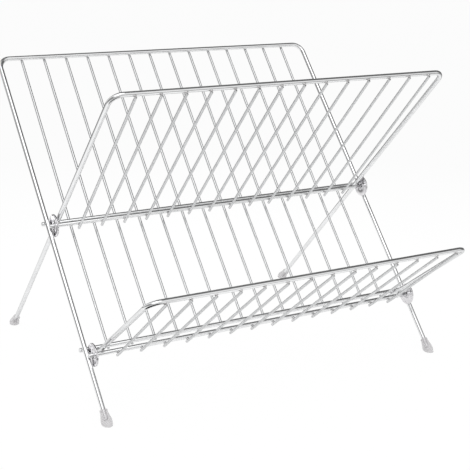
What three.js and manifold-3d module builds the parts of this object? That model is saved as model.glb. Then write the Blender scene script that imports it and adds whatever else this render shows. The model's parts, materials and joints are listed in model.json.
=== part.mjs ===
// Folding two-tier dish drying rack, bent and welded from round wire.
// Millimetres, +Z up, +Y to the back. Three wire panels: the main frame leans back and
// stands on the front feet, the upper frame leans forward and stands on the back feet,
// and the tray rises to the front from the foot of the main frame.
import * as THREE from 'three';
import { mergeVertices } from 'three/addons/utils/BufferGeometryUtils.js';
import Module from 'manifold-3d';

const wasm = await Module();
wasm.setup();

// Wire sizes and clearances
const frameWire = 5.6;        // diameter of the bent frame rods
const crossWire = 5;          // diameter of the crossbars
const slatWire = 3.2;         // diameter of the slats
const weldGap = 0.3;          // clearance that stands for each spot weld
const pinGap = 0.3;           // radial clearance of a crossbar in a pivot plate
const sideGap = 0.9;          // clearance between the sides of two panels that fold together
const plateGap = 2;           // sideways play between a pivot plate and the upper frame's leg

// Overall sizes and angles
const rackWidth = 450;        // between the leg axes of the main frame
const mainLength = 485.5;     // floor to top bar, along the leg of the main frame
const mainLean = 42.2;        // degrees back from upright
const upperReach = 237;       // upper pivot to top bar, along the upper frame
const upperLean = 43.6;       // degrees forward from upright
const trayReach = 154;        // lower pivot to front bar, along the tray
const trayRise = 37;          // degrees up from level
const bendRadius = 14;        // centreline radius of every frame corner

// Pivots, along the leg of the main frame and in front of its axis
const upperPivotUp = 243.4;
const lowerPivotUp = 79.3;
const pivotForward = 8.3;
const plateDiameter = 27;
const plateThickness = 2;
const plateRim = 0.5;         // rounding of the plate's edges
const pinReach = 1.5;         // crossbar end past the axis of the main frame's leg
const crossbarStub = 2;       // crossbar end past the outside of the main frame's leg

// Slats
const slatCount = 14;
const mainSlatInset = 31.2;   // leg axis to the first slat's axis
const upperSlatInset = 25;
const traySlatInset = 17.5;
const slatTail = 3;           // slat end below the crossbar of the upper frame and the tray
const slatFlush = 0.5;        // slat end below the main frame's lower crossbar
const stopTail = 6;           // leg of the tray past the crossbar that it bears on

// Foot caps
const rodLift = 6;            // rod end above the floor, along the leg
const capTip = 8.4;           // diameter of the lowest ring, which the level cut takes off
const capSole = 11.8;         // diameter where the leg's axis meets the floor
const capBulb = 13;           // diameter of the widest ring
const capBulbUp = 5;          // its height, along the leg
const capShoulder = 12;       // diameter above the widest ring
const capShoulderUp = 8;
const capThroat = 9.4;        // diameter under the mouth
const capThroatUp = 13;
const capNeck = 8.6;          // diameter at the mouth
const capLength = 18;
const capLip = 1;             // height of the rounded lip
const capEdge = 0.5;          // how far the lip is rounded inward

// Facets
const rodSides = 16;
const slatSides = 12;
const bendSteps = 7;
const plateSides = 32;
const capSides = 24;

const chrome = { color: 0xd9dadb, roughness: 0.12, metalness: 1 };
const darkChrome = { color: 0xb9b7ba, roughness: 0.2, metalness: 1 };
const clearPlastic = { color: 0xd8d0d8, roughness: 0.35, metalness: 0 };

// Distances that follow from the wires
const legToCross = frameWire / 2 + weldGap + crossWire / 2;
const crossToSlat = crossWire / 2 + weldGap + slatWire / 2;
const legToSlat = frameWire / 2 + weldGap + slatWire / 2;
const platePlane = rackWidth / 2 - frameWire / 2 - weldGap - plateThickness;
const upperWidth = 2 * (platePlane - plateGap - frameWire / 2);
const trayWidth = upperWidth - 2 * (frameWire + sideGap);

// The crossbars of the main frame are the stops of the other two panels when the rack is
// open: each bears on the far side of their legs, so its height follows from their angles.
const mainAngle = THREE.MathUtils.degToRad(mainLean);
const upperAngle = THREE.MathUtils.degToRad(upperLean);
const trayAngle = THREE.MathUtils.degToRad(90 - trayRise);
const crossBehindPivot = pivotForward + legToCross;
function stopAbovePivot(panelAngle) {
  const spread = mainAngle + panelAngle;
  return (2 * legToCross - crossBehindPivot * Math.cos(spread)) / Math.sin(spread);
}
const upperCrossUp = upperPivotUp + stopAbovePivot(upperAngle);
const lowerCrossUp = lowerPivotUp + stopAbovePivot(trayAngle);
const traySpread = mainAngle + trayAngle;
const stopBehindPivot = crossBehindPivot * Math.sin(traySpread)
  - stopAbovePivot(trayAngle) * Math.cos(traySpread);

// A path through fixed stations, so that long straights take one step each.
class StationPath extends THREE.Curve {
  constructor(stations) {
    super();
    this.stations = stations;
  }
  getPointAt(u) {
    return this.stations[Math.round(u * (this.stations.length - 1))].clone();
  }
  getTangentAt(u) {
    const last = this.stations.length - 1;
    const at = Math.round(u * last);
    const before = this.stations[Math.max(at - 1, 0)];
    const after = this.stations[Math.min(at + 1, last)];
    const into = this.stations[at].clone().sub(before).normalize();
    const out = after.clone().sub(this.stations[at]).normalize();
    return into.add(out).normalize();
  }
}

function wire(diameter, stations, sides) {
  const section = new THREE.Shape().absarc(0, 0, diameter / 2, 0, 2 * Math.PI);
  return new THREE.ExtrudeGeometry(section, {
    steps: stations.length - 1,
    curveSegments: sides / 2,
    extrudePath: new StationPath(stations),
  });
}

// An arch of frame wire: up one leg, along the bar and down the other leg.
function archStations(width, bottom, top, y) {
  const half = width / 2;
  const stations = [new THREE.Vector3(-half, y, bottom)];
  for (const side of [-1, 1]) {
    const centre = new THREE.Vector3(side * (half - bendRadius), y, top - bendRadius);
    for (let step = 0; step <= bendSteps; step++) {
      const turn = (step / bendSteps) * Math.PI / 2;
      const along = side < 0 ? Math.PI - turn : Math.PI / 2 - turn;
      stations.push(new THREE.Vector3(
        centre.x + bendRadius * Math.cos(along), y, centre.z + bendRadius * Math.sin(along)));
    }
  }
  stations.push(new THREE.Vector3(half, y, bottom));
  return stations;
}

function solidFrom(geometry) {
  const bare = geometry.clone();
  bare.deleteAttribute('normal');
  bare.deleteAttribute('uv');
  const merged = mergeVertices(bare, 1e-4);
  return new wasm.Manifold(new wasm.Mesh({
    numProp: 3,
    vertProperties: new Float32Array(merged.attributes.position.array),
    triVerts: new Uint32Array(merged.index.array),
  }));
}

function geometryFrom(solid) {
  const mesh = solid.getMesh();
  const geometry = new THREE.BufferGeometry();
  geometry.setAttribute('position', new THREE.BufferAttribute(mesh.vertProperties, 3));
  geometry.setIndex(new THREE.BufferAttribute(mesh.triVerts, 1));
  geometry.computeVertexNormals();
  return geometry;
}

function pivotPlate() {
  const hole = crossWire / 2 + pinGap;
  const outer = plateDiameter / 2;
  const profile = [
    new THREE.Vector2(hole, 0),
    new THREE.Vector2(outer - plateRim, 0),
    new THREE.Vector2(outer, plateRim),
    new THREE.Vector2(outer, plateThickness - plateRim),
    new THREE.Vector2(outer - plateRim, plateThickness),
    new THREE.Vector2(hole, plateThickness),
    new THREE.Vector2(hole, 0),
  ];
  return new THREE.LatheGeometry(profile, plateSides).rotateZ(-Math.PI / 2);
}

// A moulded boot around the rod's end, cut level where it stands on the floor. Its own
// frame has the leg along +Z and its origin where the leg's axis meets the floor.
function footCap(legTurn) {
  const bore = frameWire / 2 + weldGap;
  const floorSlab = new THREE.BoxGeometry(80, 80, 40).translate(0, 0, -20).rotateX(-legTurn);
  const profile = [
    new THREE.Vector2(0, -capBulb / 2),
    new THREE.Vector2(capTip / 2, -capBulb / 2),
    new THREE.Vector2(capSole / 2, 0),
    new THREE.Vector2(capBulb / 2, capBulbUp),
    new THREE.Vector2(capShoulder / 2, capShoulderUp),
    new THREE.Vector2(capThroat / 2, capThroatUp),
    new THREE.Vector2(capNeck / 2, capLength - capLip),
    new THREE.Vector2(capNeck / 2 - capEdge, capLength),
    new THREE.Vector2(bore, capLength),
    new THREE.Vector2(bore, rodLift - weldGap),
    new THREE.Vector2(0, rodLift - weldGap),
  ];
  const boot = new THREE.LatheGeometry(profile, capSides).rotateX(Math.PI / 2);
  return geometryFrom(solidFrom(boot).subtract(solidFrom(floorSlab)));
}

function piece(name, geometry, look) {
  const mesh = new THREE.Mesh(geometry, new THREE.MeshStandardMaterial(look));
  mesh.name = name;
  return mesh;
}

function bar(name, diameter, halfLength, y, z, look) {
  const ends = [new THREE.Vector3(-halfLength, y, z), new THREE.Vector3(halfLength, y, z)];
  return piece(name, wire(diameter, ends, rodSides), look);
}

function slatPlaces(width, inset) {
  const pitch = (width - 2 * inset) / (slatCount - 1);
  return Array.from({ length: slatCount }, (_, slat) => inset - width / 2 + slat * pitch);
}

function slatName(panel, slat) {
  return `${panel}_slat_${String(slat + 1).padStart(2, '0')}`;
}

// The main frame: z runs up the leg from the floor, and y is behind the leg's axis.
function mainFrame() {
  const group = new THREE.Group();
  const arch = archStations(rackWidth, rodLift, mainLength, 0);
  group.add(piece('main_frame_rod', wire(frameWire, arch, rodSides), chrome));
  const crossHalf = rackWidth / 2 + frameWire / 2 + crossbarStub;
  group.add(bar('main_upper_crossbar', crossWire, crossHalf, legToCross, upperCrossUp, chrome));
  group.add(bar('main_lower_crossbar', crossWire, crossHalf, legToCross, lowerCrossUp, chrome));

  const behindCross = legToCross + crossToSlat;
  slatPlaces(rackWidth, mainSlatInset).forEach((x, slat) => {
    const route = [
      new THREE.Vector3(x, behindCross, lowerCrossUp - crossWire / 2 - slatFlush),
      new THREE.Vector3(x, behindCross, upperCrossUp + crossWire),
      new THREE.Vector3(x, legToSlat, mainLength - frameWire),
      new THREE.Vector3(x, legToSlat, mainLength),
    ];
    group.add(piece(slatName('main', slat), wire(slatWire, route, slatSides), chrome));
  });

  const plate = pivotPlate();
  for (const [height, along] of [['upper', upperPivotUp], ['lower', lowerPivotUp]]) {
    for (const [side, x] of [['left', -platePlane - plateThickness], ['right', platePlane]]) {
      const disc = piece(`${height}_pivot_plate_${side}`, plate, darkChrome);
      disc.position.set(x, -pivotForward, along);
      group.add(disc);
    }
  }

  const boot = footCap(-mainAngle);
  for (const [side, x] of [['left', -rackWidth / 2], ['right', rackWidth / 2]]) {
    const cap = piece(`front_foot_cap_${side}`, boot, clearPlastic);
    cap.position.x = x;
    group.add(cap);
  }
  group.rotation.x = -mainAngle;
  return group;
}

// A panel that turns on its crossbar: the crossbar is at the group's origin, the legs
// pass behind it and the slats in front, and z runs from the pivot to the outer bar.
function hingedPanel(panel, width, reach, legEnd, slatInset) {
  const group = new THREE.Group();
  const arch = archStations(width, legEnd, reach, legToCross);
  group.add(piece(`${panel}_frame_rod`, wire(frameWire, arch, rodSides), chrome));
  const crossHalf = rackWidth / 2 + pinReach;
  group.add(bar(`${panel}_pivot_crossbar`, crossWire, crossHalf, 0, 0, chrome));
  slatPlaces(width, slatInset).forEach((x, slat) => {
    const route = [
      new THREE.Vector3(x, -crossToSlat, -crossWire / 2 - slatTail),
      new THREE.Vector3(x, -crossToSlat, crossWire / 2),
      new THREE.Vector3(x, legToCross - legToSlat, reach - frameWire / 2),
      new THREE.Vector3(x, legToCross - legToSlat, reach),
    ];
    group.add(piece(slatName(panel, slat), wire(slatWire, route, slatSides), chrome));
  });
  return group;
}

function pivotPlace(along) {
  return new THREE.Vector3(0, -pivotForward, along)
    .applyAxisAngle(new THREE.Vector3(1, 0, 0), -mainAngle);
}

function upperFrame() {
  const pivot = pivotPlace(upperPivotUp);
  const legFoot = -(pivot.z + legToCross * Math.sin(upperAngle)) / Math.cos(upperAngle);
  const group = hingedPanel('upper', upperWidth, upperReach, legFoot + rodLift, upperSlatInset);
  const boot = footCap(upperAngle);
  for (const [side, x] of [['left', -upperWidth / 2], ['right', upperWidth / 2]]) {
    const cap = piece(`rear_foot_cap_${side}`, boot, clearPlastic);
    cap.position.set(x, legToCross, legFoot);
    group.add(cap);
  }
  group.position.copy(pivot);
  group.rotation.x = upperAngle;
  return group;
}

function tray() {
  const legEnd = -stopBehindPivot - stopTail;
  const group = hingedPanel('tray', trayWidth, trayReach, legEnd, traySlatInset);
  group.position.copy(pivotPlace(lowerPivotUp));
  group.rotation.x = trayAngle;
  return group;
}

const rack = new THREE.Group();
rack.add(mainFrame(), upperFrame(), tray());

// Stand the rack over its origin, centred front to back.
const extent = new THREE.Box3().setFromObject(rack, true);
rack.position.y = -(extent.min.y + extent.max.y) / 2;
rack.updateMatrixWorld(true);

export default rack;
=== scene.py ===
# Looks for the folding two-tier dish drying rack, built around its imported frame.
# Metres, +Z up, +Y to the back, in the frame's own place.
import json
import math

import bmesh
import bpy
from mathutils import Matrix, Vector
from mathutils.geometry import interpolate_bezier


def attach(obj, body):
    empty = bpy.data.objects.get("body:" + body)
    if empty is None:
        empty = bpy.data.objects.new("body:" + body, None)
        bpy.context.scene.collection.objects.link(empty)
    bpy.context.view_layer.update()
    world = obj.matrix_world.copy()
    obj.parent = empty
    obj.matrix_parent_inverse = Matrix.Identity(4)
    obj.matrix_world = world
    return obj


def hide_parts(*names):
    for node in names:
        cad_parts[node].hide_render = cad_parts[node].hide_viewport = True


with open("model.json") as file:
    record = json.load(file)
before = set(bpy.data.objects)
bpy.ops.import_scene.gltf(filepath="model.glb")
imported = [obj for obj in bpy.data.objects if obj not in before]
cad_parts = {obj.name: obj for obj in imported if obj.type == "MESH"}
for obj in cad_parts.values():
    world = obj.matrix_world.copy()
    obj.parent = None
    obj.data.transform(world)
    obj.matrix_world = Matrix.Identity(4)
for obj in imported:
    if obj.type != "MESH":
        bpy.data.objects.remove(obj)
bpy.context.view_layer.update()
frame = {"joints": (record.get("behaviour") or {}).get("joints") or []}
scene = bpy.context.scene

# ---------------------------------------------------------------- camera
CAMERA_AT = Vector((-0.6426, -1.1237, 0.5324))
CAMERA_TURN = math.radians(30.18)      # to the right of straight ahead
CAMERA_TILT = math.radians(-16.42)     # below level
CAMERA_ROLL = math.radians(0.97)
CAMERA_LENS = 82.09
SENSOR_WIDTH = 36

ahead = Vector((math.sin(CAMERA_TURN) * math.cos(CAMERA_TILT),
                math.cos(CAMERA_TURN) * math.cos(CAMERA_TILT),
                math.sin(CAMERA_TILT)))
level_right = Vector((math.cos(CAMERA_TURN), -math.sin(CAMERA_TURN), 0))
level_up = level_right.cross(ahead)
right = level_right * math.cos(CAMERA_ROLL) + level_up * math.sin(CAMERA_ROLL)
up = level_up * math.cos(CAMERA_ROLL) - level_right * math.sin(CAMERA_ROLL)
camera_data = bpy.data.cameras.new("camera")
camera_data.lens = CAMERA_LENS
camera_data.sensor_width = SENSOR_WIDTH
camera_data.clip_start, camera_data.clip_end = 0.05, 50
camera = bpy.data.objects.new("camera", camera_data)
camera.matrix_world = Matrix.Translation(CAMERA_AT) @ Matrix((right, up, -ahead)).transposed().to_4x4()
scene.collection.objects.link(camera)
scene.camera = camera

# ---------------------------------------------------------------- sizes
FRAME_WIRE, CROSS_WIRE, SLAT_WIRE = 0.0056, 0.005, 0.0032
WELD_GAP = 0.0003
SKIN = 0.00001                         # keeps a round wire inside the faceted one's box
RACK_WIDTH, MAIN_LENGTH = 0.450, 0.4855
UPPER_REACH, TRAY_REACH = 0.237, 0.154
MAIN_LEAN, UPPER_LEAN, TRAY_RISE = math.radians(42.2), math.radians(43.6), math.radians(37)
BEND_RADIUS = 0.014
UPPER_PIVOT_UP, LOWER_PIVOT_UP, PIVOT_FORWARD = 0.2434, 0.0793, 0.0083
PLATE_DIAMETER, PLATE_THICKNESS, PIN_GAP, PLATE_GAP, SIDE_GAP = 0.027, 0.002, 0.0003, 0.002, 0.0009
PIN_REACH, CROSSBAR_STUB = 0.0015, 0.002
SLAT_COUNT = 14
MAIN_SLAT_INSET, UPPER_SLAT_INSET, TRAY_SLAT_INSET = 0.0312, 0.025, 0.0175
SLAT_TAIL, SLAT_FLUSH, STOP_TAIL = 0.003, 0.0005, 0.006
ROD_LIFT, CAP_LENGTH, CAP_NECK = 0.006, 0.018, 0.0086
CAP_TIP, CAP_SOLE, CAP_BULB, CAP_BULB_UP = 0.0084, 0.0118, 0.013, 0.005
CAP_SHOULDER, CAP_SHOULDER_UP, CAP_THROAT, CAP_THROAT_UP = 0.012, 0.008, 0.0094, 0.013

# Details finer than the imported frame's own
ROD_SIDES, CROSSBAR_SIDES, SLAT_SIDES, PLATE_SIDES, CAP_SIDES = 28, 24, 20, 64, 48
WIRE_END_ROUND, WIRE_END_STEPS = 0.0004, 4
BEND_STEPS, EASE_STEPS = 18, 6
MAIN_SLAT_EASE, PANEL_SLAT_EASE = 0.006, 0.004      # half the length of a slat's own bend
BAR_BEAD, RIM_BEAD, LEG_BEAD = ((0.0021, 0.0015, 0.0008), (0.0022, 0.0017, 0.0009),
                                (0.0020, 0.0020, 0.0010))   # along, across, thick
BEAD_WOBBLE, BEAD_LOBES, BEAD_VARIETY = 0.06, 5, 900
PLATE_RIM, PLATE_LIP, PLATE_RIM_STEPS = 0.0006, 0.0003, 5
DISH_STEP, DISH_DEPTH = 0.00005, 0.00045            # below the plate's outer face
MOUTH_FOOT, MOUTH_LOW, MOUTH_HIGH = 0.0025, 0.0016, 0.0006      # below the cap's top
MOUTH_SWELL = 0.0003

LEG_TO_CROSS = FRAME_WIRE / 2 + WELD_GAP + CROSS_WIRE / 2
CROSS_TO_SLAT = CROSS_WIRE / 2 + WELD_GAP + SLAT_WIRE / 2
LEG_TO_SLAT = FRAME_WIRE / 2 + WELD_GAP + SLAT_WIRE / 2
PLATE_PLANE = RACK_WIDTH / 2 - FRAME_WIRE / 2 - WELD_GAP - PLATE_THICKNESS
UPPER_WIDTH = 2 * (PLATE_PLANE - PLATE_GAP - FRAME_WIRE / 2)
TRAY_WIDTH = UPPER_WIDTH - 2 * (FRAME_WIRE + SIDE_GAP)
TRAY_LEAN = math.pi / 2 - TRAY_RISE
CROSS_BEHIND_PIVOT = PIVOT_FORWARD + LEG_TO_CROSS


def stop_above_pivot(lean):
    spread = MAIN_LEAN + lean
    return (2 * LEG_TO_CROSS - CROSS_BEHIND_PIVOT * math.cos(spread)) / math.sin(spread)


UPPER_CROSS_UP = UPPER_PIVOT_UP + stop_above_pivot(UPPER_LEAN)
LOWER_CROSS_UP = LOWER_PIVOT_UP + stop_above_pivot(TRAY_LEAN)
TRAY_SPREAD = MAIN_LEAN + TRAY_LEAN
STOP_BEHIND_PIVOT = (CROSS_BEHIND_PIVOT * math.sin(TRAY_SPREAD)
                     - stop_above_pivot(TRAY_LEAN) * math.cos(TRAY_SPREAD))

# Each panel is made in its own frame, with z up its legs, and placed by its joint.
pivots = {j["name"]: Vector(j["pos_m"]) for j in frame["joints"]}
upper_place = Matrix.Translation(pivots["upper_frame_fold"]) @ Matrix.Rotation(UPPER_LEAN, 4, "X")
tray_place = Matrix.Translation(pivots["tray_fold"]) @ Matrix.Rotation(TRAY_LEAN, 4, "X")
main_place = (Matrix.Translation(pivots["upper_frame_fold"]) @ Matrix.Rotation(-MAIN_LEAN, 4, "X")
              @ Matrix.Translation((0, PIVOT_FORWARD, -UPPER_PIVOT_UP)))


# ---------------------------------------------------------------- materials
def new_material(name):
    material = bpy.data.materials.new(name)
    material.use_nodes = True
    tree = material.node_tree
    shader = tree.nodes["Principled BSDF"]
    return material, tree, shader


def add(tree, kind, **settings):
    node = tree.nodes.new(kind)
    for key, value in settings.items():
        if key in node.inputs:
            node.inputs[key].default_value = value
        else:
            setattr(node, key, value)
    return node


def noise(tree, vector, scale, detail, roughness):
    node = add(tree, "ShaderNodeTexNoise", Scale=scale, Detail=detail, Roughness=roughness)
    tree.links.new(vector, node.inputs["Vector"])
    return node.outputs["Fac"]


def ramp(tree, value, low, high, from_low=0.3, from_high=0.7):
    node = add(tree, "ShaderNodeMapRange")
    node.inputs["From Min"].default_value = from_low
    node.inputs["From Max"].default_value = from_high
    node.inputs["To Min"].default_value = low
    node.inputs["To Max"].default_value = high
    tree.links.new(value, node.inputs["Value"])
    return node.outputs["Result"]


def blend_colour(tree, factor, dark, light):
    node = add(tree, "ShaderNodeMix", data_type="RGBA")
    for socket in node.inputs:
        if socket.name == "A" and socket.type == "RGBA":
            socket.default_value = (*dark, 1)
        if socket.name == "B" and socket.type == "RGBA":
            socket.default_value = (*light, 1)
    tree.links.new(factor, node.inputs["Factor"])
    return [socket for socket in node.outputs if socket.type == "RGBA"][0]


def bump(tree, shader, height, distance, strength, under=None):
    node = add(tree, "ShaderNodeBump", Strength=strength, Distance=distance)
    tree.links.new(height, node.inputs["Height"])
    if under is not None:
        tree.links.new(under, node.inputs["Normal"])
    tree.links.new(node.outputs["Normal"], shader.inputs["Normal"])
    return node.outputs["Normal"]


def plated_wire(name, dark, light, edge, smooth, satin, drawn):
    """Bright plate over drawn wire: die lines along it, faint orange peel and patches of satin haze."""
    material, tree, shader = new_material(name)
    shader.inputs["Metallic"].default_value = 1
    shader.inputs["Specular Tint"].default_value = (edge, edge, edge, 1)
    place = add(tree, "ShaderNodeTexCoord").outputs["Object"]
    along = add(tree, "ShaderNodeUVMap", uv_map="wire").outputs["UV"]
    haze = noise(tree, place, 26, 4, 0.6)
    smear = noise(tree, place, 190, 3, 0.55)
    colour = blend_colour(tree, ramp(tree, haze, 0, 1), dark, light)
    tree.links.new(colour, shader.inputs["Base Color"])
    mixed = add(tree, "ShaderNodeMath", operation="ADD")
    tree.links.new(ramp(tree, haze, smooth, satin), mixed.inputs[0])
    tree.links.new(ramp(tree, smear, -0.03, 0.03), mixed.inputs[1])
    tree.links.new(mixed.outputs["Value"], shader.inputs["Roughness"])
    stretch = add(tree, "ShaderNodeMapping")
    stretch.inputs["Scale"].default_value = (2400, 14, 1)
    tree.links.new(along, stretch.inputs["Vector"])
    lines = noise(tree, stretch.outputs["Vector"], 1, 2, 0.5)
    peel = noise(tree, place, 620, 2, 0.5)
    first = bump(tree, shader, lines, 0.00001, drawn)
    bump(tree, shader, peel, 0.00001, 0.1, under=first)
    return material


def pressed_plate():
    """Plated pressing: faintly rippled by the press, with fine specks in the plate."""
    material, tree, shader = new_material("plated_pressing")
    shader.inputs["Metallic"].default_value = 1
    place = add(tree, "ShaderNodeTexCoord").outputs["Object"]
    ripple = noise(tree, place, 150, 3, 0.5)
    speck = noise(tree, place, 900, 2, 0.6)
    colour = blend_colour(tree, ramp(tree, ripple, 0, 1), (0.64, 0.63, 0.645), (0.76, 0.75, 0.765))
    tree.links.new(colour, shader.inputs["Base Color"])
    tree.links.new(ramp(tree, speck, 0.03, 0.09), shader.inputs["Roughness"])
    first = bump(tree, shader, ripple, 0.0001, 0.25)
    bump(tree, shader, speck, 0.00001, 0.1, under=first)
    return material


def weld_metal():
    """Squeezed spot weld under plate: dull, pitted and darker than the wire."""
    material, tree, shader = new_material("plated_weld")
    shader.inputs["Metallic"].default_value = 1
    place = add(tree, "ShaderNodeTexCoord").outputs["Object"]
    pits = noise(tree, place, 1400, 3, 0.6)
    patch = noise(tree, place, 300, 2, 0.5)
    colour = blend_colour(tree, ramp(tree, patch, 0, 1), (0.52, 0.51, 0.51), (0.70, 0.69, 0.69))
    tree.links.new(colour, shader.inputs["Base Color"])
    tree.links.new(ramp(tree, pits, 0.18, 0.35), shader.inputs["Roughness"])
    bump(tree, shader, pits, 0.00004, 0.3)
    return material


def soft_plastic():
    """Clear soft plastic gone milky, cloudy in places and finely scuffed."""
    material, tree, shader = new_material("clear_soft_plastic")
    shader.inputs["IOR"].default_value = 1.46
    shader.inputs["Alpha"].default_value = 0.5
    place = add(tree, "ShaderNodeTexCoord").outputs["Object"]
    cloud = noise(tree, place, 140, 3, 0.55)
    scuff = noise(tree, place, 700, 4, 0.65)
    colour = blend_colour(tree, ramp(tree, cloud, 0, 1), (0.46, 0.445, 0.458), (0.56, 0.548, 0.558))
    tree.links.new(colour, shader.inputs["Base Color"])
    tree.links.new(ramp(tree, scuff, 0.3, 0.42), shader.inputs["Roughness"])
    first = bump(tree, shader, cloud, 0.0001, 0.05)
    bump(tree, shader, scuff, 0.00001, 0.04, under=first)
    return material


bright_wire = plated_wire("plated_frame_wire", dark=(0.77, 0.775, 0.78), light=(0.85, 0.855, 0.86),
                          edge=0.75, smooth=0.07, satin=0.13, drawn=0.08)
slat_wire = plated_wire("plated_slat_wire", dark=(0.62, 0.625, 0.63), light=(0.71, 0.715, 0.72),
                        edge=0.8, smooth=0.28, satin=0.4, drawn=0.1)
plate_metal = pressed_plate()
bead_metal = weld_metal()
cap_plastic = soft_plastic()


# ---------------------------------------------------------------- mesh tools
def finish_mesh(name, bm, material, place, sharp=35):
    bmesh.ops.recalc_face_normals(bm, faces=bm.faces)
    for face in bm.faces:
        face.smooth = True
    bm.transform(place)
    mesh = bpy.data.meshes.new(name)
    bm.to_mesh(mesh)
    bm.free()
    mesh.set_sharp_from_angle(angle=math.radians(sharp))
    mesh.materials.append(material)
    obj = bpy.data.objects.new(name, mesh)
    scene.collection.objects.link(obj)
    return obj


def sweep(bm, points, radius, sides):
    """A round wire along points, with rounded cut ends and a UV map that runs along it in metres."""
    uv = bm.loops.layers.uv.get("wire") or bm.loops.layers.uv.new("wire")
    tangents = []
    for i, point in enumerate(points):
        into = (point - points[i - 1]).normalized() if i else Vector()
        out = (points[i + 1] - point).normalized() if i < len(points) - 1 else Vector()
        tangents.append((into + out).normalized())
    stations = []
    for k in range(WIRE_END_STEPS):
        turn = k / WIRE_END_STEPS * math.pi / 2
        stations.append((points[0] + tangents[0] * WIRE_END_ROUND * (1 - math.cos(turn)),
                         tangents[0], radius - WIRE_END_ROUND * (1 - math.sin(turn))))
    stations.append((points[0] + tangents[0] * WIRE_END_ROUND, tangents[0], radius))
    stations += [(p, t, radius) for p, t in zip(points[1:-1], tangents[1:-1])]
    stations.append((points[-1] - tangents[-1] * WIRE_END_ROUND, tangents[-1], radius))
    for k in range(WIRE_END_STEPS - 1, -1, -1):
        turn = k / WIRE_END_STEPS * math.pi / 2
        stations.append((points[-1] - tangents[-1] * WIRE_END_ROUND * (1 - math.cos(turn)),
                         tangents[-1], radius - WIRE_END_ROUND * (1 - math.sin(turn))))
    normal = tangents[0].orthogonal().normalized()
    rings, run, lengths = [], 0.0, []
    for i, (centre, tangent, size) in enumerate(stations):
        normal = (normal - tangent * normal.dot(tangent)).normalized()
        side = tangent.cross(normal)
        if i:
            run += (centre - stations[i - 1][0]).length
        lengths.append(run)
        rings.append([bm.verts.new(centre + size * (math.cos(a) * normal + math.sin(a) * side))
                      for a in (2 * math.pi * s / sides for s in range(sides))])
    for i in range(len(rings) - 1):
        for s in range(sides):
            t = (s + 1) % sides
            face = bm.faces.new((rings[i][s], rings[i][t], rings[i + 1][t], rings[i + 1][s]))
            around = 2 * math.pi * radius / sides
            for loop, (u, v) in zip(face.loops, ((s, i), (s + 1, i), (s + 1, i + 1), (s, i + 1))):
                loop[uv].uv = (u * around, lengths[v])
    bm.faces.new(list(reversed(rings[0])))
    bm.faces.new(rings[-1])


def arch_points(width, bottom, top, y):
    """Up one leg, round two bends and down the other leg."""
    half = width / 2
    points = [Vector((-half, y, bottom))]
    for side in (-1, 1):
        centre = Vector((side * (half - BEND_RADIUS), y, top - BEND_RADIUS))
        for step in range(BEND_STEPS + 1):
            turn = step / BEND_STEPS * math.pi / 2
            along = math.pi - turn if side < 0 else math.pi / 2 - turn
            points.append(centre + BEND_RADIUS * Vector((math.cos(along), 0, math.sin(along))))
    points.append(Vector((half, y, bottom)))
    return points


def eased(route, reach):
    """The route with each corner turned over a short curve, as a wire bends."""
    points = [route[0]]
    for before, corner, after in zip(route, route[1:], route[2:]):
        start = corner + (before - corner).normalized() * min(reach, (before - corner).length / 2)
        end = corner + (after - corner).normalized() * min(reach, (after - corner).length / 2)
        points += interpolate_bezier(start, start.lerp(corner, 2 / 3), end.lerp(corner, 2 / 3), end,
                                     EASE_STEPS)
    points.append(route[-1])
    return points


def wire(name, points, diameter, sides, material, place, body, node):
    bm = bmesh.new()
    sweep(bm, points, diameter / 2 - SKIN, sides)
    obj = finish_mesh(name, bm, material, place)
    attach(obj, body)
    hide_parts(node)


def bead(bm, centre, along, across, thick):
    """A squeezed-out weld bead: a flattened ball with a slightly uneven rim."""
    made = bmesh.ops.create_uvsphere(bm, u_segments=14, v_segments=8, radius=1.0)
    for vert in made["verts"]:
        around = math.atan2(vert.co.y, vert.co.x)
        wobble = 1 + BEAD_WOBBLE * math.sin(BEAD_LOBES * around + centre.x * BEAD_VARIETY)
        vert.co = Vector((vert.co.x * along * wobble, vert.co.y * thick, vert.co.z * across * wobble))
    bmesh.ops.transform(bm, matrix=Matrix.Translation(centre), verts=made["verts"])


def welds(name, body, place, crossings):
    bm = bmesh.new()
    bm.loops.layers.uv.new("wire")
    for centre, size in crossings:
        bead(bm, Vector(centre), *size)
    obj = finish_mesh(name, bm, bead_metal, place, sharp=80)
    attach(obj, body)


def slat_places(width, inset):
    pitch = (width - 2 * inset) / (SLAT_COUNT - 1)
    return [inset - width / 2 + k * pitch for k in range(SLAT_COUNT)]


def lathe(bm, profile, sides):
    """Rings of (radius, height) turned round z; a radius of zero closes to one point."""
    rings = []
    for radius, height in profile:
        if radius < 1e-9:
            rings.append([bm.verts.new((0, 0, height))])
        else:
            rings.append([bm.verts.new((radius * math.cos(a), radius * math.sin(a), height))
                          for a in (2 * math.pi * s / sides for s in range(sides))])
    for low, high in zip(rings, rings[1:]):
        for s in range(sides):
            t = (s + 1) % sides
            corners = [low[s % len(low)], low[t % len(low)], high[t % len(high)], high[s % len(high)]]
            bm.faces.new(list(dict.fromkeys(corners)))


def smoothed(profile, rounds=2):
    """Chaikin corner cutting that keeps the first and last points."""
    for _ in range(rounds):
        cut = [profile[0]]
        for a, b in zip(profile, profile[1:]):
            cut.append((a[0] * 0.75 + b[0] * 0.25, a[1] * 0.75 + b[1] * 0.25))
            cut.append((a[0] * 0.25 + b[0] * 0.75, a[1] * 0.25 + b[1] * 0.75))
        cut.append(profile[-1])
        profile = cut
    return profile


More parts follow.
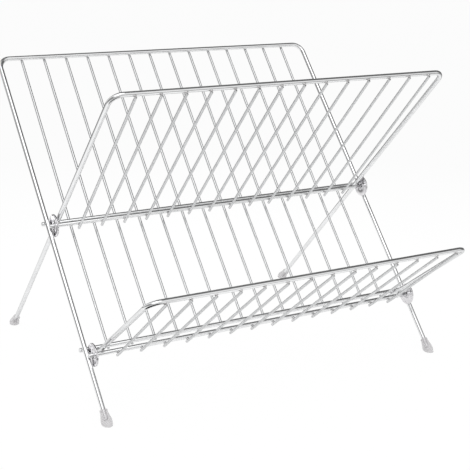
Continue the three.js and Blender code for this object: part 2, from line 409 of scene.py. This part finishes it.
def pivot_plate(name, node, x_low, up_leg, outward):
    """A pressed disc with a rolled edge, a shallow dish and a punched hole, placed on the main frame."""
    hole, outer, thick = CROSS_WIRE / 2 + PIN_GAP, PLATE_DIAMETER / 2, PLATE_THICKNESS
    rim, corner = PLATE_RIM, 0.0002
    turns = [k / PLATE_RIM_STEPS * math.pi / 2 for k in range(PLATE_RIM_STEPS + 1)]
    section = [(hole, corner), (hole + PLATE_LIP, 0)]
    section += [(outer - rim + rim * math.sin(a), rim - rim * math.cos(a)) for a in turns]
    section += [(outer - rim + rim * math.cos(a), thick - rim + rim * math.sin(a)) for a in turns]
    # the dish, from its outer slope to its inner one
    section += [(outer - 0.0022, thick - DISH_STEP), (outer - 0.0034, thick - DISH_DEPTH),
                (hole + 0.0035, thick - DISH_DEPTH), (hole + 0.0020, thick - DISH_STEP),
                (hole + PLATE_LIP, thick), (hole, thick - corner), (hole, corner)]
    bm = bmesh.new()
    bm.loops.layers.uv.new("wire")
    lathe(bm, section, PLATE_SIDES)
    bmesh.ops.remove_doubles(bm, verts=bm.verts, dist=1e-7)
    turn = Matrix.Rotation(math.pi / 2 * outward, 4, "Y")
    start = x_low if outward > 0 else x_low + thick
    local = Matrix.Translation((start, -PIVOT_FORWARD, up_leg)) @ turn
    obj = finish_mesh(name, bm, plate_metal, main_place @ local, sharp=50)
    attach(obj, "main_frame")
    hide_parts(node)


def foot_cap(name, node, body, place, x, y, floor_up, leg_turn):
    """A moulded boot with a bore for the rod, a beaded mouth and a sole cut level on the floor."""
    bore = FRAME_WIRE / 2 + WELD_GAP / 2
    outer = [(CAP_TIP / 2, -CAP_BULB / 2), (CAP_SOLE / 2, 0), (CAP_BULB / 2, CAP_BULB_UP * 0.7),
             (CAP_BULB / 2, CAP_BULB_UP), (CAP_SHOULDER / 2, CAP_SHOULDER_UP),
             (CAP_THROAT / 2, CAP_THROAT_UP), (CAP_NECK / 2, CAP_LENGTH - MOUTH_FOOT)]
    lip = CAP_NECK / 2 + MOUTH_SWELL
    mouth = [(lip, CAP_LENGTH - MOUTH_LOW), (lip, CAP_LENGTH - MOUTH_HIGH),
             (CAP_NECK / 2 - 0.0004, CAP_LENGTH), (bore + 0.0003, CAP_LENGTH), (bore, CAP_LENGTH - 0.0004)]
    inside = [(bore, ROD_LIFT + 0.0005), (bore - 0.0006, ROD_LIFT - WELD_GAP), (0, ROD_LIFT - WELD_GAP)]
    section = [(0, -CAP_BULB / 2)]
    section += [(radius - SKIN, height) for radius, height in smoothed(outer)]
    section += mouth + inside
    bm = bmesh.new()
    bm.loops.layers.uv.new("wire")
    lathe(bm, section, CAP_SIDES)
    # the sole is cut level with the floor, seen from the boot's own frame
    floor_up_direction = Vector((0, math.sin(leg_turn), math.cos(leg_turn)))
    cut = bmesh.ops.bisect_plane(bm, geom=bm.verts[:] + bm.edges[:] + bm.faces[:], dist=1e-7,
                                 plane_co=floor_up_direction * SKIN / 10, plane_no=-floor_up_direction,
                                 clear_outer=True)
    rim = [part for part in cut["geom_cut"] if isinstance(part, bmesh.types.BMEdge)]
    bmesh.ops.contextual_create(bm, geom=rim)
    obj = finish_mesh(name, bm, cap_plastic, place @ Matrix.Translation((x, y, floor_up)), sharp=50)
    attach(obj, body)
    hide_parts(node)
    obj.visible_glossy = False         # or the rod inside would mirror only the boot


# ---------------------------------------------------------------- main frame
wire("main_rod", arch_points(RACK_WIDTH, ROD_LIFT, MAIN_LENGTH, 0), FRAME_WIRE, ROD_SIDES, bright_wire,
     main_place, "main_frame", "main_frame_rod")
cross_half = RACK_WIDTH / 2 + FRAME_WIRE / 2 + CROSSBAR_STUB
for level, height in (("upper", UPPER_CROSS_UP), ("lower", LOWER_CROSS_UP)):
    ends = [Vector((side * cross_half, LEG_TO_CROSS, height)) for side in (-1, 1)]
    wire(f"main_crossbar_{level}", ends, CROSS_WIRE, CROSSBAR_SIDES, bright_wire,
         main_place, "main_frame", f"main_{level}_crossbar")

behind_cross = LEG_TO_CROSS + CROSS_TO_SLAT
main_xs = slat_places(RACK_WIDTH, MAIN_SLAT_INSET)
for k, x in enumerate(main_xs, 1):
    route = [Vector((x, behind_cross, LOWER_CROSS_UP - CROSS_WIRE / 2 - SLAT_FLUSH)),
             Vector((x, behind_cross, UPPER_CROSS_UP + CROSS_WIRE)),
             Vector((x, LEG_TO_SLAT, MAIN_LENGTH - FRAME_WIRE)),
             Vector((x, LEG_TO_SLAT, MAIN_LENGTH))]
    wire(f"main_wire_{k:02d}", eased(route, MAIN_SLAT_EASE), SLAT_WIRE, SLAT_SIDES, slat_wire,
         main_place, "main_frame", f"main_slat_{k:02d}")

main_beads = []
for height in (UPPER_CROSS_UP, LOWER_CROSS_UP):
    main_beads += [((x, LEG_TO_CROSS + CROSS_WIRE / 2 + WELD_GAP / 2, height), BAR_BEAD) for x in main_xs]
    main_beads += [((side * RACK_WIDTH / 2, FRAME_WIRE / 2 + WELD_GAP / 2, height), LEG_BEAD)
                   for side in (-1, 1)]
main_beads += [((x, FRAME_WIRE / 2 + WELD_GAP / 2, MAIN_LENGTH), RIM_BEAD) for x in main_xs]
welds("main_welds", "main_frame", main_place, main_beads)

for level, up_leg in (("upper", UPPER_PIVOT_UP), ("lower", LOWER_PIVOT_UP)):
    for side, x_low, outward in (("left", -PLATE_PLANE - PLATE_THICKNESS, -1), ("right", PLATE_PLANE, 1)):
        pivot_plate(f"{level}_plate_{side}", f"{level}_pivot_plate_{side}", x_low, up_leg, outward)

for side, x in (("left", -RACK_WIDTH / 2), ("right", RACK_WIDTH / 2)):
    foot_cap(f"front_boot_{side}", f"front_foot_cap_{side}", "main_frame", main_place, x, 0, 0, -MAIN_LEAN)


# ---------------------------------------------------------------- hinged panels
def hinged_panel(panel, body, place, width, reach, leg_end, inset):
    """Rod, pivot crossbar, slats and weld beads of a panel, with its crossbar on the hinge's axis."""
    arch = arch_points(width, leg_end, reach, LEG_TO_CROSS)
    wire(f"{panel}_rod", arch, FRAME_WIRE, ROD_SIDES, bright_wire, place, body, f"{panel}_frame_rod")
    half = RACK_WIDTH / 2 + PIN_REACH
    wire(f"{panel}_crossbar", [Vector((-half, 0, 0)), Vector((half, 0, 0))], CROSS_WIRE, CROSSBAR_SIDES,
         bright_wire, place, body, f"{panel}_pivot_crossbar")
    outer_y = LEG_TO_CROSS - LEG_TO_SLAT
    beads = []
    for k, x in enumerate(slat_places(width, inset), 1):
        route = [Vector((x, -CROSS_TO_SLAT, -CROSS_WIRE / 2 - SLAT_TAIL)),
                 Vector((x, -CROSS_TO_SLAT, CROSS_WIRE / 2)),
                 Vector((x, outer_y, reach - FRAME_WIRE / 2)),
                 Vector((x, outer_y, reach))]
        wire(f"{panel}_wire_{k:02d}", eased(route, PANEL_SLAT_EASE), SLAT_WIRE, SLAT_SIDES, slat_wire,
             place, body, f"{panel}_slat_{k:02d}")
        beads.append(((x, -CROSS_WIRE / 2 - WELD_GAP / 2, 0), BAR_BEAD))
        beads.append(((x, outer_y + SLAT_WIRE / 2 + WELD_GAP / 2, reach), RIM_BEAD))
    beads += [((side * width / 2, CROSS_WIRE / 2 + WELD_GAP / 2, 0), LEG_BEAD) for side in (-1, 1)]
    welds(f"{panel}_welds", body, place, beads)


upper_pivot = Matrix.Rotation(-MAIN_LEAN, 3, "X") @ Vector((0, -PIVOT_FORWARD, UPPER_PIVOT_UP))
upper_leg_foot = -(upper_pivot.z + LEG_TO_CROSS * math.sin(UPPER_LEAN)) / math.cos(UPPER_LEAN)
hinged_panel("upper", "upper_frame", upper_place, UPPER_WIDTH, UPPER_REACH,
             upper_leg_foot + ROD_LIFT, UPPER_SLAT_INSET)
hinged_panel("tray", "tray", tray_place, TRAY_WIDTH, TRAY_REACH,
             -STOP_BEHIND_PIVOT - STOP_TAIL, TRAY_SLAT_INSET)
for side, x in (("left", -UPPER_WIDTH / 2), ("right", UPPER_WIDTH / 2)):
    foot_cap(f"rear_boot_{side}", f"rear_foot_cap_{side}", "upper_frame", upper_place,
             x, LEG_TO_CROSS, upper_leg_foot, UPPER_LEAN)


# ---------------------------------------------------------------- floor, world and lamps
DARK_SIDE = Vector((0.72, 0.46, 0.52)).normalized()
ROOM_LIGHT, ROOM_DARK, ROOM_LEFT = 0.95, 0.15, 0.36
# centre and radii of a dark patch painted into the floor for reflections only: painted reflection
PAINTED_DARK_PATCH, PAINTED_PATCH_CORE, PAINTED_PATCH_RIM = (-0.27, -0.34, 0), 0.14, 0.2
# the floor's colour is painted darker between the near and far distances: painted shade
FLOOR_RADIUS, FLOOR_NEAR, FLOOR_FAR, FLOOR_FAR_PAINTED_LEVEL = 9, 0.5, 1.2, 0.3
FLOOR_LIFT = 0.96                      # how much of what the eye sees of the floor is plain white
LAMP_AIM = Vector((0, 0, 0.15))


def floor():
    """Pale and plain, washed out to the eye; its colour carries painted shade, darker with distance and in a
    dark patch that only reflections see, so it falls away into the dark in reflections.
    """
    bm = bmesh.new()
    bmesh.ops.create_circle(bm, cap_ends=True, segments=96, radius=FLOOR_RADIUS)
    mesh = bpy.data.meshes.new("floor")
    bm.to_mesh(mesh)
    bm.free()
    material = bpy.data.materials.new("floor")
    material.use_nodes = True
    tree = material.node_tree
    tree.nodes.clear()
    out = add(tree, "ShaderNodeOutputMaterial")
    place = add(tree, "ShaderNodeTexCoord").outputs["Object"]
    grain = noise(tree, place, 60, 3, 0.5)
    diffuse = add(tree, "ShaderNodeBsdfDiffuse")
    pale = blend_colour(tree, ramp(tree, grain, 0, 1), (0.86, 0.86, 0.86), (0.89, 0.89, 0.89))
    reach = add(tree, "ShaderNodeVectorMath", operation="LENGTH")
    tree.links.new(place, reach.inputs[0])
    # painted shade: the floor's own colour is multiplied down with distance and by the dark patch below
    painted_shade_mix = add(tree, "ShaderNodeMix", data_type="RGBA", blend_type="MULTIPLY")
    painted_shade_mix.inputs["Factor"].default_value = 1
    colours = [socket for socket in painted_shade_mix.inputs if socket.type == "RGBA"]
    tree.links.new(pale, colours[0])
    far = ramp(tree, reach.outputs["Value"], 1, FLOOR_FAR_PAINTED_LEVEL, FLOOR_NEAR, FLOOR_FAR)
    # painted reflection: a dark patch painted into the floor's colour that only reflections see, in place of
    # a dark card; the bends of the front panels mirror it
    painted_patch_distance = add(tree, "ShaderNodeVectorMath", operation="DISTANCE")
    painted_patch_distance.inputs[1].default_value = PAINTED_DARK_PATCH
    tree.links.new(place, painted_patch_distance.inputs[0])
    path = add(tree, "ShaderNodeLightPath")
    unseen = add(tree, "ShaderNodeMath", operation="SUBTRACT")
    unseen.inputs[0].default_value = 1
    tree.links.new(path.outputs["Is Glossy Ray"], unseen.inputs[1])
    lit = add(tree, "ShaderNodeMath", operation="MAXIMUM")
    tree.links.new(unseen.outputs["Value"], lit.inputs[0])
    tree.links.new(ramp(tree, painted_patch_distance.outputs["Value"], 0, 1, PAINTED_PATCH_CORE, PAINTED_PATCH_RIM), lit.inputs[1])
    shade = add(tree, "ShaderNodeMath", operation="MULTIPLY")
    tree.links.new(far, shade.inputs[0])
    tree.links.new(lit.outputs["Value"], shade.inputs[1])
    tree.links.new(shade.outputs["Value"], colours[1])
    shaded = [socket for socket in painted_shade_mix.outputs if socket.type == "RGBA"][0]
    tree.links.new(shaded, diffuse.inputs["Color"])
    white = add(tree, "ShaderNodeEmission", Strength=1.0)
    seen = add(tree, "ShaderNodeMath", operation="MAXIMUM")
    tree.links.new(path.outputs["Is Camera Ray"], seen.inputs[0])
    tree.links.new(path.outputs["Is Transmission Ray"], seen.inputs[1])
    lift = add(tree, "ShaderNodeMath", operation="MULTIPLY")
    lift.inputs[1].default_value = FLOOR_LIFT
    tree.links.new(seen.outputs["Value"], lift.inputs[0])
    mix = add(tree, "ShaderNodeMixShader")
    tree.links.new(lift.outputs["Value"], mix.inputs["Fac"])
    tree.links.new(diffuse.outputs["BSDF"], mix.inputs[1])
    tree.links.new(white.outputs["Emission"], mix.inputs[2])
    tree.links.new(mix.outputs["Shader"], out.inputs["Surface"])
    mesh.materials.append(material)
    obj = bpy.data.objects.new("floor", mesh)
    scene.collection.objects.link(obj)


def surroundings():
    """White to the eye; metal sees a bright room, grey to the left, dark behind the rack and to its right."""
    world = bpy.data.worlds.new("studio")
    scene.world = world
    world.use_nodes = True
    tree = world.node_tree
    tree.nodes.clear()
    out = add(tree, "ShaderNodeOutputWorld")
    direction = add(tree, "ShaderNodeTexCoord").outputs["Generated"]
    facing = add(tree, "ShaderNodeVectorMath", operation="DOT_PRODUCT")
    facing.inputs[1].default_value = DARK_SIDE
    tree.links.new(direction, facing.inputs[0])
    split = add(tree, "ShaderNodeSeparateXYZ")
    tree.links.new(direction, split.inputs["Vector"])
    walls = add(tree, "ShaderNodeMath", operation="MULTIPLY")
    tree.links.new(ramp(tree, facing.outputs["Value"], ROOM_LIGHT, ROOM_DARK, 0.38, 0.62), walls.inputs[0])
    tree.links.new(ramp(tree, split.outputs["X"], ROOM_LEFT, 1, -0.85, -0.65), walls.inputs[1])
    path = add(tree, "ShaderNodeLightPath")
    room = add(tree, "ShaderNodeBackground")
    tree.links.new(walls.outputs["Value"], room.inputs["Color"])
    soft = add(tree, "ShaderNodeBackground", Strength=1.1)
    soft.inputs["Color"].default_value = (1, 1, 1, 1)
    white = add(tree, "ShaderNodeBackground", Strength=1.0)
    white.inputs["Color"].default_value = (1, 1, 1, 1)
    by_gloss = add(tree, "ShaderNodeMixShader")
    tree.links.new(path.outputs["Is Glossy Ray"], by_gloss.inputs["Fac"])
    tree.links.new(soft.outputs["Background"], by_gloss.inputs[1])
    tree.links.new(room.outputs["Background"], by_gloss.inputs[2])
    seen = add(tree, "ShaderNodeMath", operation="MAXIMUM")
    tree.links.new(path.outputs["Is Camera Ray"], seen.inputs[0])
    tree.links.new(path.outputs["Is Transmission Ray"], seen.inputs[1])
    by_eye = add(tree, "ShaderNodeMixShader")
    tree.links.new(seen.outputs["Value"], by_eye.inputs["Fac"])
    tree.links.new(by_gloss.outputs["Shader"], by_eye.inputs[1])
    tree.links.new(white.outputs["Background"], by_eye.inputs[2])
    tree.links.new(by_eye.outputs["Shader"], out.inputs["Surface"])


def softbox(name, at, size, power):
    data = bpy.data.lights.new(name, "AREA")
    data.shape = "RECTANGLE"
    data.size, data.size_y = size
    data.energy = power
    obj = bpy.data.objects.new(name, data)
    obj.location = at
    aim = LAMP_AIM - Vector(at)
    obj.rotation_mode = "QUATERNION"
    obj.rotation_quaternion = aim.to_track_quat("-Z", "Y")
    scene.collection.objects.link(obj)


floor()
surroundings()
softbox("key_softbox", at=(-1.6, -1.5, 2.2), size=(2.4, 2.0), power=12)
softbox("top_softbox", at=(-0.3, -1.1, 2.6), size=(2.0, 1.6), power=9)
scene.view_settings.view_transform = "Standard"
